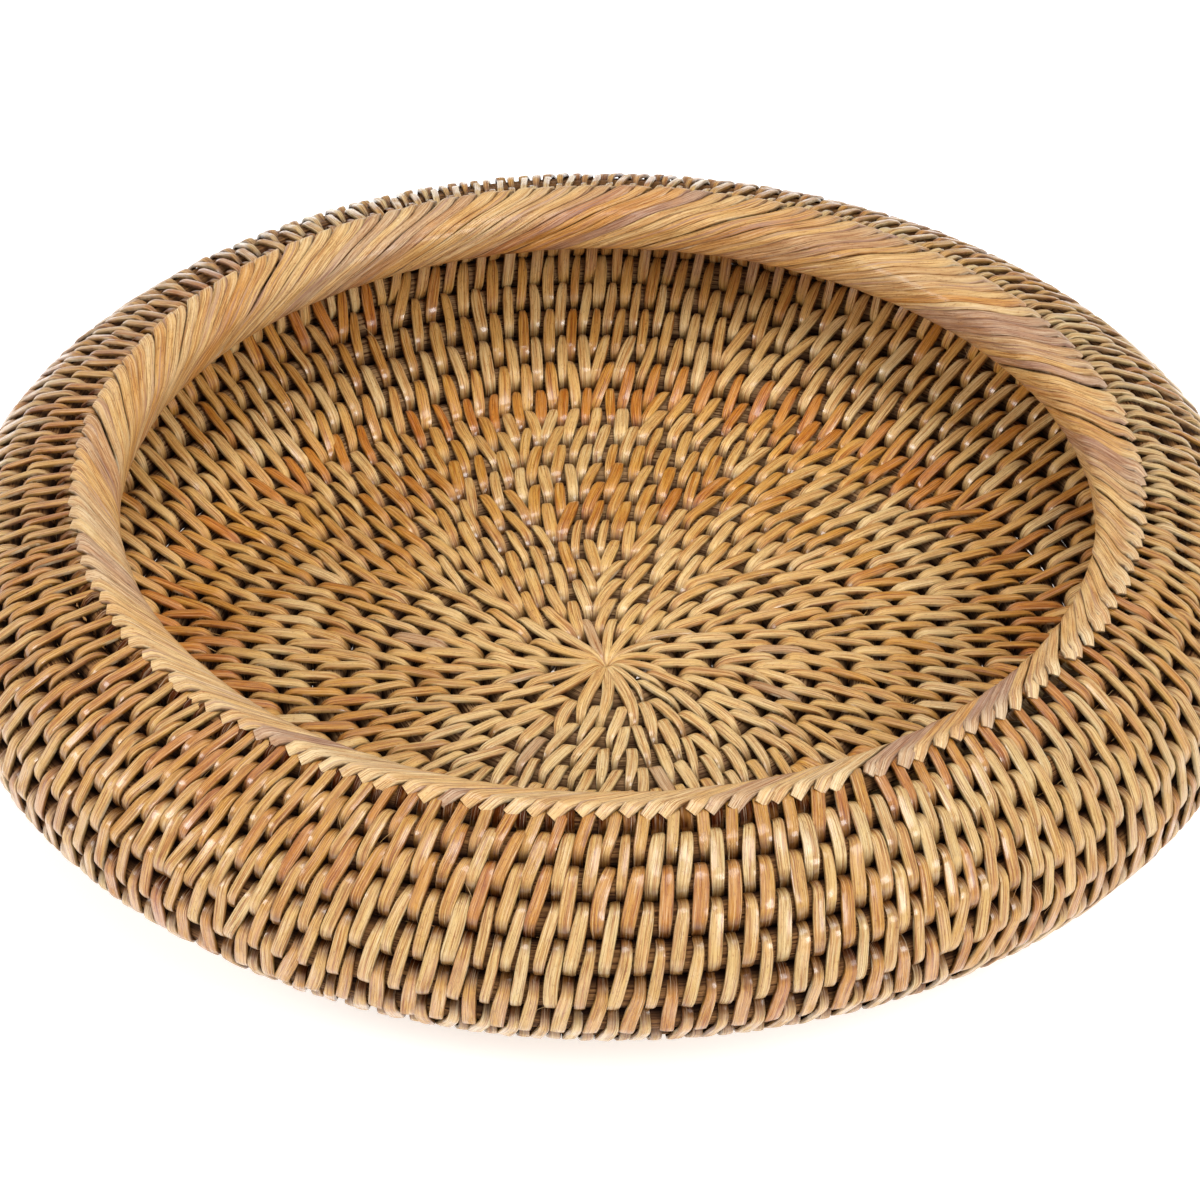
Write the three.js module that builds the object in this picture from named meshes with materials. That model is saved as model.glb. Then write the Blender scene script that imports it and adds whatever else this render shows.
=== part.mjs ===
// Shallow coiled cane bowl-basket, the kind sold and used as a small winnowing basket.
//
// A round cane core runs in one spiral from the centre of the flat floor, out along a wide
// flare, round a full belly and back in over the shoulder. Flat binding strips loop round two
// neighbouring turns at a time. Two thinner canes inside the last turn are wrapped together
// with it in a thick border. Millimetres and degrees, +Z up, origin under the middle of the foot.
//
// Each turn of the core is its own solid. The thousands of binding loops are stood for by thin
// layers on both faces of the wall, one layer for each stretch of it.

import * as THREE from 'three';

// ---- driving dimensions ----
const coreRadius = 3.1;          // cane core of the coils
const floorTurns = 13;           // turns in the flat floor, the starting eye counted as the first
const flareTurns = 6;            // turns in the flare, the one that makes the foot included
const bellyTurns = 4;            // turns round the belly
const shoulderTurns = 3;         // turns in the shoulder; the last is half a turn, under the border
const floorPitch = 7.75;         // distance between turns in the floor
const wallPitch = 7.65;          // distance between turns in the wall
const footDip = 5;               // slope down from the floor to the foot turn
const flareSlope = 22.5;         // rise of the flare above the horizontal
const shoulderSlope = 162;       // direction of the wall at the top: inwards, 18 degrees up
const turnEase = 1.65;           // how early the wall turns: higher bends more of it at the bottom

const fitGap = 0.4;              // free space between the core and the binding layers
const stripThickness = 0.8;      // a binding layer
const endGap = 0.4;              // between the end of one turn and the start of the next

const borderCaneRadius = 2.1;    // the two thin canes inside the border
const borderCaneAt = 112.0;      // distance of both from the axis
const borderCaneDrop = [0.7, 5.2];   // below the last turn's height: the upper and the lower cane
const footWidth = 6;             // flat ring of binding that the basket stands on

const around = 32;               // facets in a full circle
const coreSides = 6;             // facets round a core
const seamAngle = 125;           // where one turn passes to the next, counted from +X

// ---- colours ----
const caneColour = 0x9c8468;
const strawColour = 0xcba468;
const borderColour = 0xd2b07c;

// ---- the wall's middle line, one point for each turn ----
const radians = THREE.MathUtils.degToRad;
const wallTurns = flareTurns + bellyTurns + shoulderTurns;
const lastTurn = floorTurns + wallTurns;
const layerInner = coreRadius + fitGap;
const layerOuter = layerInner + stripThickness;
const footDrop = wallPitch * Math.sin(radians(footDip));
const floorHeight = layerOuter + footDrop;

// Slope of the step that leads to wall turn number i, counted from 0 at the foot.
function wallSlope(i) {
  if (i === 0) return -footDip;
  if (i < flareTurns) return flareSlope;
  const left = 1 - (i - flareTurns + 1) / (bellyTurns + shoulderTurns);
  return shoulderSlope - (shoulderSlope - flareSlope) * left ** turnEase;
}

function turnCentres() {
  const centres = [];
  for (let k = 1; k <= floorTurns; k += 1) {
    centres.push(new THREE.Vector2((k - 0.5) * floorPitch, floorHeight));
  }
  for (let i = 0; i < wallTurns; i += 1) {
    const step = new THREE.Vector2(wallPitch, 0).rotateAround(new THREE.Vector2(), radians(wallSlope(i)));
    centres.push(centres.at(-1).clone().add(step));
  }
  return centres;
}

const centres = turnCentres();
const middleLine = new THREE.SplineCurve(centres);

// Radius and height of the wall's middle at turn number `turn`, which may be a fraction.
function middleAt(turn) {
  return middleLine.getPoint((turn - 1) / (lastTurn - 1));
}

// The same point moved off the middle by `distance` towards the inside of the bowl.
function offsetAt(turn, distance) {
  const near = 0.05;
  const before = middleAt(Math.max(turn - near, 1));
  const after = middleAt(Math.min(turn + near, lastTurn));
  const along = after.sub(before).normalize();
  return middleAt(turn).add(new THREE.Vector2(-along.y, along.x).multiplyScalar(distance));
}

// ---- shapes ----
// The core's route over part of the spiral, from one turn number to another.
class SpiralRun extends THREE.Curve {
  constructor(from, to) {
    super();
    this.from = from;
    this.to = to;
  }

  getPoint(t) {
    const turn = this.from + (this.to - this.from) * t;
    const middle = middleAt(turn);
    const angle = radians(seamAngle) + (turn - 0.5) * 2 * Math.PI;
    return new THREE.Vector3(middle.x * Math.cos(angle), middle.x * Math.sin(angle), middle.y);
  }
}

function roundSection(radius, sides) {
  const corner = (i) => {
    const angle = (i / sides) * 2 * Math.PI;
    return new THREE.Vector2(radius * Math.cos(angle), radius * Math.sin(angle));
  };
  return new THREE.Shape(Array.from({ length: sides }, (_, i) => corner(i)));
}

// One turn of core, from half a pitch inside its own place to half a pitch outside it.
function coreTurn(from, to, facets) {
  const trim = endGap / 2 / (2 * Math.PI * middleAt((from + to) / 2).x);
  const run = new SpiralRun(from + trim, to - trim);
  const steps = Math.ceil(facets * (to - from));
  return new THREE.ExtrudeGeometry(roundSection(coreRadius, coreSides), {
    steps,
    bevelEnabled: false,
    extrudePath: run,
  });
}

// A solid of revolution about Z from a closed outline of (radius, height) points, listed
// anticlockwise; `around` facets.
function revolved(outline) {
  const closed = [...outline, outline[0]];
  return new THREE.LatheGeometry(closed, around).rotateX(Math.PI / 2);
}

// A closed ring with a round section.
function caneRing(radius, height, caneRadius, sides) {
  const corner = (i) => {
    const angle = (i / sides) * 2 * Math.PI;
    return new THREE.Vector2(radius + caneRadius * Math.cos(angle), height + caneRadius * Math.sin(angle));
  };
  return revolved(Array.from({ length: sides }, (_, i) => corner(i)));
}

// A binding layer over the wall between two turn numbers, on the inside (side 1) or the
// outside (side -1). The facets are set off so that their flats clear the round core.
function bindingLayer(from, to, step, side) {
  const flats = Math.cos(Math.PI / around) ** side;
  const count = Math.round((to - from) / step);
  const edge = (distance) => Array.from({ length: count + 1 }, (_, i) => {
    const point = offsetAt(from + ((to - from) * i) / count, side * distance);
    return new THREE.Vector2(point.x * flats, point.y);
  });
  const near = edge(layerInner);
  const far = edge(layerOuter);
  return side > 0 ? revolved([...near, ...far.reverse()]) : revolved([...far, ...near.reverse()]);
}

// A flat round layer of binding between two heights.
function bindingDisc(radius, low, high) {
  const outline = [[0, low], [radius, low], [radius, high], [0, high]];
  const points = outline.map(([r, z]) => new THREE.Vector2(r, z));
  return new THREE.LatheGeometry(points, around).rotateX(Math.PI / 2);
}

// The flat ring under the foot turn.
function footRing() {
  const middle = centres[floorTurns].x;
  const inner = middle - footWidth / 2;
  const outer = middle + footWidth / 2;
  const outline = [[inner, 0], [outer, 0], [outer, stripThickness], [inner, stripThickness]];
  return revolved(outline.map(([r, z]) => new THREE.Vector2(r, z)));
}

// Points on an arc, angles in degrees.
function arcPoints(centre, radius, from, to, count) {
  return Array.from({ length: count }, (_, i) => {
    const angle = radians(from + ((to - from) * i) / (count - 1));
    return new THREE.Vector2(centre.x + radius * Math.cos(angle), centre.y + radius * Math.sin(angle));
  });
}

// The border's binding: open in section, from the crest of the last turn over the top, down
// the inner side and round under the lower cane.
function borderBinding() {
  const crest = centres.at(-1);
  const [upper, lower] = borderCanes();
  const face = (extra) => [
    ...arcPoints(crest, coreRadius + fitGap + extra, 72, 104, 3),
    ...arcPoints(upper, borderCaneRadius + fitGap + extra, 112, 180, 3),
    ...arcPoints(lower, borderCaneRadius + fitGap + extra, 180, 300, 4),
  ];
  return revolved([...face(stripThickness), ...face(0).reverse()]);
}

function borderCanes() {
  return borderCaneDrop.map((drop) => new THREE.Vector2(borderCaneAt, centres.at(-1).y - drop));
}

// ---- assembly ----
const basket = new THREE.Group();

function add(name, geometry, colour, roughness) {
  const material = new THREE.MeshStandardMaterial({ color: colour, roughness, metalness: 0 });
  const mesh = new THREE.Mesh(geometry, material);
  mesh.name = name;
  basket.add(mesh);
}

const addCane = (name, geometry) => add(name, geometry, caneColour, 0.75);
const addBinding = (name, geometry) => add(name, geometry, strawColour, 0.5);

// The starting eye: the thinned end of the cane curled up on itself.
const eyeSides = 6;
addCane('start_eye', caneRing(middleAt(1).x, floorHeight, coreRadius, eyeSides));

const turnName = (zone, k) => `${zone}_coil_${String(k).padStart(2, '0')}`;
function zoneOf(k) {
  if (k <= floorTurns) return 'floor';
  if (k <= floorTurns + flareTurns) return 'flare';
  return k <= floorTurns + flareTurns + bellyTurns ? 'belly' : 'shoulder';
}

const eyeClear = 0.4;            // the first full turn starts this much late, clear of the eye
for (let k = 2; k <= lastTurn; k += 1) {
  const from = k === 2 ? k - 0.5 + eyeClear : k - 0.5;
  const to = k === lastTurn ? lastTurn : k + 0.5;
  const facets = k <= floorTurns ? 10 + k : around;
  addCane(turnName(zoneOf(k), k), coreTurn(from, to, facets));
}

// Binding layers, from the middle of the floor to the border.
const floorEdge = centres[floorTurns - 1].x;
const footTurn = floorTurns + 1;
const flareTop = floorTurns + flareTurns;
const bellyTop = flareTop + bellyTurns;
const layerBreak = 0.03;         // half the space between two layers, in turns
const layerEnd = 0.35;           // the shoulder layers stop this far short of the last turn
addBinding('floor_binding_inside', bindingDisc(floorEdge, floorHeight + layerInner, floorHeight + layerOuter));
addBinding('floor_binding_underside', bindingDisc(floorEdge, floorHeight - layerOuter, floorHeight - layerInner));
addBinding('foot_ring_binding', footRing());
addBinding('flare_binding_inside', bindingLayer(footTurn - 0.5, flareTop - layerBreak, 1, 1));
addBinding('flare_binding_outside', bindingLayer(footTurn + 0.5, flareTop - layerBreak, 1, -1));
addBinding('belly_binding_inside', bindingLayer(flareTop + layerBreak, bellyTop - layerBreak, 1, 1));
addBinding('belly_binding_outside', bindingLayer(flareTop + layerBreak, bellyTop - layerBreak, 0.5, -1));
addBinding('shoulder_binding_inside', bindingLayer(bellyTop + layerBreak, lastTurn - layerEnd, 0.9, 1));
addBinding('shoulder_binding_outside', bindingLayer(bellyTop + layerBreak, lastTurn - layerEnd, 0.9, -1));

const [upperCane, lowerCane] = borderCanes();
addCane('border_cane_upper', caneRing(upperCane.x, upperCane.y, borderCaneRadius, coreSides));
addCane('border_cane_lower', caneRing(lowerCane.x, lowerCane.y, borderCaneRadius, coreSides));
add('border_binding', borderBinding(), borderColour, 0.45);

export default basket;
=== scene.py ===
"""Looks for the shallow coiled cane basket.

The CAD solids are all stood for by finer pieces in the same places: the cane core as round
tubes, about 2340 binding loops as separate domed strips on both faces of the wall, and the
border as slanting strips wrapped round the last turn and two thin canes.

Lengths are in millimetres and angles in degrees until a mesh is made, which is in metres.
A place on the spiral is a turn number `s`: its whole part counts turns from the middle of the
floor, and its fraction says how far round the turn it is. Lights and camera are in metres.
"""

import math

import bpy
import numpy as np
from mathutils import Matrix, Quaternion, Vector


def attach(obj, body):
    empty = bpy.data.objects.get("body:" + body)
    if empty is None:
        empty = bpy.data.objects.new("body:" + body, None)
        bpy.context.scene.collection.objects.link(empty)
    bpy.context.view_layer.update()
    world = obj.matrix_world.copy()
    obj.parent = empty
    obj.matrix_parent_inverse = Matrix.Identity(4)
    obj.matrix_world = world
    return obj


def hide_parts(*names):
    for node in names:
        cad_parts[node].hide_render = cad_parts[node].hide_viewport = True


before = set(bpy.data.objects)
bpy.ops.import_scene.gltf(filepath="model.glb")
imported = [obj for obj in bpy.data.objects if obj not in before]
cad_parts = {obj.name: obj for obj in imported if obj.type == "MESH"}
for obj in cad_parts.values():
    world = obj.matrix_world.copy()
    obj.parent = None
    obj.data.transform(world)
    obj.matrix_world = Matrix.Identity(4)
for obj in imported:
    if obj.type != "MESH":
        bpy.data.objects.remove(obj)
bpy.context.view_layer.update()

MM = 0.001
SEED = 20

# ---- the wall's middle line, from the same dimensions as the CAD ----
CORE_RADIUS = 3.1
FLOOR_TURNS = 13
FLARE_TURNS = 6
BELLY_TURNS = 4
SHOULDER_TURNS = 3
FLOOR_PITCH = 7.75
WALL_PITCH = 7.65
FOOT_DIP = 5
FLARE_SLOPE = 22.5
SHOULDER_SLOPE = 162
TURN_EASE = 1.65
LAYER_THICKNESS = 0.8
FIT_GAP = 0.4
SEAM_ANGLE = 125
BORDER_CANE_RADIUS = 2.1
BORDER_CANE_AT = 112.5           # half a millimetre outside the CAD's, to stay under the strips
BORDER_CANE_DROP = (0.7, 5.2)

WALL_TURNS = FLARE_TURNS + BELLY_TURNS + SHOULDER_TURNS
LAST_TURN = FLOOR_TURNS + WALL_TURNS
FOOT_DROP = WALL_PITCH * math.sin(math.radians(FOOT_DIP))
FLOOR_HEIGHT = CORE_RADIUS + FIT_GAP + LAYER_THICKNESS + FOOT_DROP
UNDER_BORDER = np.array([-4.0, -4.0])   # how the rows go on for a turn beyond the last, out of sight

INSIDE, OUTSIDE = 1, -1


def wall_slope(i):
    """Slope of the step to wall turn i, counted from 0 at the foot."""
    if i == 0:
        return -FOOT_DIP
    if i < FLARE_TURNS:
        return FLARE_SLOPE
    left = 1 - (i - FLARE_TURNS + 1) / (BELLY_TURNS + SHOULDER_TURNS)
    return SHOULDER_SLOPE - (SHOULDER_SLOPE - FLARE_SLOPE) * left**TURN_EASE


def turn_centres():
    """(radius, height) of the core's middle at each whole turn number."""
    points = [np.array([(k - 0.5) * FLOOR_PITCH, FLOOR_HEIGHT]) for k in range(1, FLOOR_TURNS + 1)]
    for i in range(WALL_TURNS):
        slope = math.radians(wall_slope(i))
        points.append(points[-1] + WALL_PITCH * np.array([math.cos(slope), math.sin(slope)]))
    return np.array(points)


CENTRES = turn_centres()


def curve_point(p0, p1, p2, p3, t):
    """The point at t, from 0 to 1, between p1 and p2 on a smooth curve through four points."""
    v0, v1 = (p2 - p0) / 2, (p3 - p1) / 2
    return (2 * p1 - 2 * p2 + v0 + v1) * t**3 + (3 * p2 - 3 * p1 - 2 * v0 - v1) * t**2 + v0 * t + p1


def middle(s):
    """(radius, height) of the core's middle at turn numbers s: a smooth curve through the centres."""
    s = np.asarray(s, float)
    place = np.clip(s, 1, LAST_TURN) - 1
    i = np.minimum(place.astype(int), LAST_TURN - 2)
    before, after = np.maximum(i - 1, 0), np.minimum(i + 2, LAST_TURN - 1)
    point = curve_point(CENTRES[before], CENTRES[i], CENTRES[i + 1], CENTRES[after], (place - i)[..., None])
    beyond = (s - 1 - place)[..., None]
    return point + beyond * np.where(beyond > 0, UNDER_BORDER, CENTRES[1] - CENTRES[0])


def azimuth(s):
    """Direction of a place on the spiral, in radians from +X."""
    return math.radians(SEAM_ANGLE) + (np.asarray(s) - 0.5) * 2 * math.pi


def unit(v):
    return v / np.linalg.norm(v, axis=-1, keepdims=True)


def face_normal(along, side):
    """The (radius, height) direction square to `along` that looks out of one face of the wall."""
    return np.stack([-along[..., 1], along[..., 0]], -1) * side


def swung(flat, angle):
    """Points or directions (radius, height) turned to an angle about Z."""
    return np.stack([flat[..., 0] * np.cos(angle), flat[..., 0] * np.sin(angle), flat[..., 1]], -1)


def run_along(path):
    """Distance travelled along a path at each of its points."""
    return np.concatenate([[0], np.cumsum(np.linalg.norm(np.diff(path, axis=0), axis=1))])


def ramp(value, low, high):
    """0 up to `low`, 1 from `high` on, and straight between them."""
    return np.clip((value - low) / (high - low), 0, 1)


# ---- colours ----
def linear(red, green, blue):
    """An sRGB colour of 0 to 255 in linear light."""
    c = np.array([red, green, blue]) / 255
    return np.where(c <= 0.04045, c / 12.92, ((c + 0.055) / 1.055) ** 2.4)


def opaque(colour):
    return (*colour, 1)


def grey(value):
    return opaque((value, value, value))


# Straw from the palest strip to the darkest, by warmth.
WARMTHS = [0.0, 0.3, 0.55, 0.8, 1.0]
STRAWS = np.array([
    linear(232, 199, 140),
    linear(224, 180, 108),
    linear(212, 153, 62),
    linear(196, 118, 38),
    linear(136, 68, 22),
])
MAUVE = linear(168, 128, 110)
CUT_END_AND_HIGHLIGHT = linear(240, 218, 176)       # the pale cut ends of the border's strips, with their painted highlight


def straw(warmth, mauve):
    """Colours for arrays of warmth and of mauve, both 0 to 1."""
    warmth = np.clip(warmth, 0, 1)
    base = np.stack([np.interp(warmth, WARMTHS, STRAWS[:, c]) for c in range(3)], -1)
    return base + (MAUVE - base) * np.clip(mauve, 0, 1)[..., None]


PATCH_WAVES = 9
MOST_ROUND = 8                   # the most waves that a patch pattern has round the basket
PATCH_ACROSS = (0.3, 1.8)        # and how fast it changes from one turn to the next, in radians


def patches(rng, angle, s):
    """Slow random variation over the basket, about -1 to 1."""
    total = np.zeros_like(angle)
    for _ in range(PATCH_WAVES):
        round_it = rng.integers(1, MOST_ROUND + 1)
        across = rng.uniform(*PATCH_ACROSS)
        total += np.cos(round_it * angle + across * s + rng.uniform(0, 2 * math.pi))
    return total / math.sqrt(PATCH_WAVES)


def lengths_of_strip(rng, count, shortest, longest):
    """For each of `count` loops in a row, one random number that changes where a new strip begins."""
    values = np.empty(count)
    start = 0
    while start < count:
        end = start + rng.integers(shortest, longest)
        values[start:end] = rng.normal()
        start = end
    return values


def facing(angle, towards, spread):
    """1 where an angle is at `towards` degrees, falling to 0 at `spread` degrees off it."""
    off = np.degrees(np.abs((angle - math.radians(towards) + math.pi) % (2 * math.pi) - math.pi))
    return np.clip(1 - off / spread, 0, 1)


# ---- meshes ----
# Section of a strip: a flat back, upright edges, a narrow bevel and a low dome; with how bright
# each corner is coloured next to the face: the strip's darker edges and painted shade down its sides and
# under it.
SECTION = np.array([
    (-0.50, -0.50),
    (-0.50, 0.12),
    (-0.45, 0.36),
    (-0.20, 0.48),
    (0.20, 0.48),
    (0.45, 0.36),
    (0.50, 0.12),
    (0.50, -0.50),
])
SECTION_SHADE = np.array([0.22, 0.48, 0.86, 1.0, 1.0, 0.86, 0.48, 0.22])
BLADE_SHADE = np.array([0.18, 0.42, 0.82, 1.0, 1.0, 0.82, 0.42, 0.18])   # for the border's strips: their darker edges, with painted shade between the lapping strips
CREASE = math.radians(38)        # edges sharper than this are shaded as edges

CELL_MARGIN = 0.05               # free edge of a strip's cell in the bake map
CELL_SHAPE = 2.6                 # a cell's length for its height


def make_mesh(name, verts, faces, smooth, attributes, bake_uv):
    """verts (n, 3) in mm; faces a list of (m, corners) index arrays; smooth one flag for each array."""
    mesh = bpy.data.meshes.new(name)
    corners = np.concatenate([f.ravel() for f in faces])
    totals = np.concatenate([np.full(len(f), f.shape[1]) for f in faces])
    starts = np.concatenate([[0], np.cumsum(totals)[:-1]])
    mesh.vertices.add(len(verts))
    mesh.loops.add(len(corners))
    mesh.polygons.add(len(totals))
    mesh.vertices.foreach_set("co", (verts * MM).astype(np.float32).ravel())
    mesh.loops.foreach_set("vertex_index", corners.astype(np.int32))
    mesh.polygons.foreach_set("loop_start", starts.astype(np.int32))
    flags = np.concatenate([np.full(len(f), flag) for f, flag in zip(faces, smooth)])
    mesh.polygons.foreach_set("use_smooth", flags)
    for key, values in attributes.items():
        kind, field = ("FLOAT_COLOR", "color") if values.shape[-1] == 4 else ("FLOAT_VECTOR", "vector")
        layer = mesh.attributes.new(key, kind, "POINT")
        layer.data.foreach_set(field, values.astype(np.float32).ravel())
    mesh.update(calc_edges=True)
    mesh.set_sharp_from_angle(angle=CREASE)
    uv = mesh.uv_layers.new(name="OFBake")
    uv.data.foreach_set("uv", bake_uv.astype(np.float32).ravel())
    piece = bpy.data.objects.new(name, mesh)
    bpy.context.scene.collection.objects.link(piece)
    return piece


def lattice(count, steps, sides):
    """Side faces of `count` tubes of steps x sides points, as vertex numbers, with where each corner is."""
    tube, step, side = np.meshgrid(np.arange(count), np.arange(steps - 1), np.arange(sides), indexing="ij")
    quad = [(0, 0), (0, 1), (1, 1), (1, 0)]
    number = [(tube * steps + step + a) * sides + (side + b) % sides for a, b in quad]
    where = [np.stack([tube, step + a, side + b], -1) for a, b in quad]
    return np.stack(number, -1).reshape(-1, 4), np.stack(where, -2).reshape(-1, 4, 3)


def strips_piece(name, strips):
    """One piece of many separate strips. strips holds verts (n, k, sides, 3), grain and tone."""
    verts = strips["verts"]
    count, steps, sides = verts.shape[:3]
    walls, where = lattice(count, steps, sides)
    first = (np.arange(count) * steps * sides)[:, None]
    start_caps = first + np.arange(sides)[::-1]
    end_caps = first + (steps - 1) * sides + np.arange(sides)
    # Each strip has its own cell of the bake map, its length across and its girth up.
    columns = max(1, round(math.sqrt(count / CELL_SHAPE)))
    rows = math.ceil(count / columns)

    def cell(number, across, up):
        u = (number % columns + CELL_MARGIN + (1 - 2 * CELL_MARGIN) * across) / columns
        v = (number // columns + CELL_MARGIN + (1 - 2 * CELL_MARGIN) * up) / rows
        return np.stack([u, v], -1)

    wall_uv = cell(where[..., 0], where[..., 1] / (steps - 1), where[..., 2] / sides)
    spread = np.linspace(0, 1, sides)[None, :]
    number = np.arange(count)[:, None]
    slim = CELL_MARGIN / 2 * (1 - np.abs(2 * spread - 1))
    start_uv = cell(number, -slim, spread[:, ::-1])
    end_uv = cell(number, 1 + slim, spread)
    uv = np.concatenate([wall_uv.reshape(-1, 2), start_uv.reshape(-1, 2), end_uv.reshape(-1, 2)])
    attributes = {"grain": strips["grain"].reshape(-1, 3), "tone": strips["tone"].reshape(-1, 4)}
    faces = [walls, start_caps, end_caps]
    return make_mesh(name, verts.reshape(-1, 3), faces, [True, False, False], attributes, uv)


def shape_strips(path, normal, width, thickness, tilt, colour, seeds, shade=SECTION_SHADE):
    """Strips along paths (n, k, 3): width (n, k), thickness (n, k), tilt (n,), colour (n, k, 3)."""
    along = unit(np.gradient(path, axis=1))
    across = unit(np.cross(along, normal))
    up = np.cross(across, along)
    c, s = np.cos(tilt)[:, None, None], np.sin(tilt)[:, None, None]
    across, up = c * across + s * up, c * up - s * across
    side, rise = SECTION[:, 0], SECTION[:, 1]
    sideways = (width[..., None] * side)[..., None]
    upwards = (thickness[..., None] * rise)[..., None]
    verts = path[:, :, None] + across[:, :, None] * sideways + up[:, :, None] * upwards
    step = np.linalg.norm(np.diff(path, axis=1), axis=-1)
    travelled = np.concatenate([np.zeros((len(path), 1)), np.cumsum(step, axis=1)], 1)
    grain = np.stack(np.broadcast_arrays(travelled[..., None], sideways[..., 0], seeds[:, None, None]), -1)
    # painted shade: each corner of the section takes its share of the strip's colour
    rgb = colour[:, :, None] * shade[None, None, :, None]
    tone = np.concatenate([rgb, np.ones(rgb.shape[:-1] + (1,))], -1)
    return {"verts": verts, "grain": grain, "tone": tone}


def part_of(strips, chosen):
    return {key: values[chosen] for key, values in strips.items()}


# ---- binding loops: where they run ----
STRIP_THICKNESS = 0.85
STRIP_CROWN = 0.30               # how far the middle of a loop stands above its straight line
LOOPS_AT = [1, 2, FLOOR_TURNS, 16, 19, 21, 23, LAST_TURN]
LOOP_COUNTS = [15, 16, 103, 114, 128, 139, 147, 152]
LOOP_PASSES = 10                 # rounds of evening out the loops' places
LEAN = 1.35                      # how far a strip leans round the basket from one turn to the next
DRIFT = {OUTSIDE: 1.35, INSIDE: -0.75}   # how far round each row starts past half way, in mm
END_PASSES = 6                   # rounds of evening out where loops cross a turn
END_SCATTER = 0.22               # how unevenly they still cross it, in mm
REACH_SCATTER = 0.25             # how loosely loops lie on the core, in mm
FROM_CENTRE = 2.02               # loops before this turn number start from the very middle
LAST_LOOP = LAST_TURN - 0.14     # loops go on past the last turn's start, under the border
UNDER_FROM = LAST_TURN - 0.5     # from here on the upper end of a loop lies lower, under the border
UNDER_WITHIN = 0.4               # and this many turns later it is fully lower,
UNDER_BY = 0.35                  # by this much
BEND = 0.3                       # how much a strip curves sideways, in mm at its turns
OVERRUN = 0.3                    # how far past its turns a strip keeps its slant, as a share of it
ARC_STEPS = 6
FLAT_STEPS = 4


def evened(line, ease):
    """An ascending line of numbers with each one moved towards the middle of its neighbours."""
    line[1:-1] += ease * ((line[:-2] + line[2:]) / 2 - line[1:-1])
    return line


def loop_places():
    """Turn numbers of all loops. A new loop goes between two of the row before it, and a row
    gets more loops where the basket widens."""
    places = [1 + i / LOOP_COUNTS[0] for i in range(LOOP_COUNTS[0] + 1)]
    i, spare = 0, 0.0
    while places[-1] < LAST_LOOP:
        a, b = places[i], places[i + 1]
        spare += (b - a) * np.interp(a + 1, LOOPS_AT, LOOP_COUNTS) - 1
        if spare > 0.5:
            places += [a + (b - a) / 3 + 1, a + (b - a) * 2 / 3 + 1]
            spare -= 1
        else:
            places.append((a + b) / 2 + 1)
        i += 1
    places = np.array(sorted(places))
    for _ in range(LOOP_PASSES):
        places = evened(places, 0.5)
    return places


def loop_ends(rng, places, side):
    """Where each loop crosses its lower and its upper turn on one face, spread evenly."""
    turns_per_mm = 1 / (2 * math.pi * middle(places + 0.5)[..., 0])
    drift = np.cumsum(DRIFT[side] * turns_per_mm * np.gradient(places))
    lean = -side * LEAN * turns_per_mm / 2
    low = places + drift - lean
    high = places + drift + lean + 1
    ends = np.concatenate([low, high])
    for _ in range(END_PASSES):
        order = np.argsort(ends)
        ends[order] = evened(ends[order], 0.25)
    ends += rng.normal(0, END_SCATTER, len(ends)) * np.tile(turns_per_mm, 2)
    return ends[:len(places)], ends[len(places):]


def loop_paths(rng, places, low, high, side):
    """Paths of the strips over two turns on one face, from groove to groove, with their normals,
    their (radius, height) points and how far each point is from the lower turn to the upper."""
    central = places < FROM_CENTRE
    first, second = middle(np.where(central, 1.0, low)), middle(high)
    before = np.where(central[:, None], first - [FLOOR_PITCH, 0], middle(low - 1))
    after = middle(high + 1)
    under = ramp(high, UNDER_FROM, UNDER_FROM + UNDER_WITHIN)[:, None] * (side == OUTSIDE)
    sink = face_normal(unit(second - first), side) * UNDER_BY * under
    second, after = second - sink, after - sink
    u = unit(second - first)
    n = face_normal(u, side)

    def angle_of(direction):
        return np.arctan2((direction * n).sum(-1), (direction * u).sum(-1))

    def on_arc(centre, turn):
        out = np.cos(turn)[..., None] * u[:, None] + np.sin(turn)[..., None] * n[:, None]
        return centre[:, None] + reach[..., None] * out, out

    quarter = math.pi / 2
    begin = angle_of(unit(before - first))
    begin = np.where(begin < 0, begin + 2 * math.pi, begin)
    end = angle_of(unit(after - second))
    reach = (CORE_RADIUS + STRIP_THICKNESS / 2 + rng.uniform(0, REACH_SCATTER, len(low)))[:, None]
    t = np.linspace(0, 1, ARC_STEPS)[None, :]
    rise_points, rise_out = on_arc(first, begin[:, None] + (quarter - begin[:, None]) * t)
    fall_points, fall_out = on_arc(second, quarter + (end[:, None] - quarter) * t)
    f = np.linspace(0, 1, FLAT_STEPS + 2)[None, 1:-1, None]
    flat_points = rise_points[:, -1:] * (1 - f) + fall_points[:, :1] * f
    flat_out = np.repeat(n[:, None], FLAT_STEPS, axis=1)
    points = np.concatenate([rise_points, flat_points, fall_points], 1)
    out = np.concatenate([rise_out, flat_out, fall_out], 1)

    progress = ((points - first[:, None]) * u[:, None]).sum(-1)
    share = progress / np.linalg.norm(second - first, axis=-1)[:, None]
    facing_out = np.clip((out * n[:, None]).sum(-1), 0, 1)
    crown = STRIP_CROWN * np.clip(1 - (share - 0.5) ** 2, 0, 1) * facing_out * (1 - under)
    points = points + crown[..., None] * n[:, None]
    angle_low, angle_high = azimuth(low)[:, None], azimuth(high - 1)[:, None]
    bend = rng.normal(0, BEND, len(low))[:, None] / first[:, :1]
    slanted = np.clip(share, -OVERRUN, 1 + OVERRUN)
    angle = angle_low + (angle_high - angle_low) * slanted + bend * (share - 0.5) ** 2
    return swung(points, angle), swung(out, angle), points, share


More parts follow.
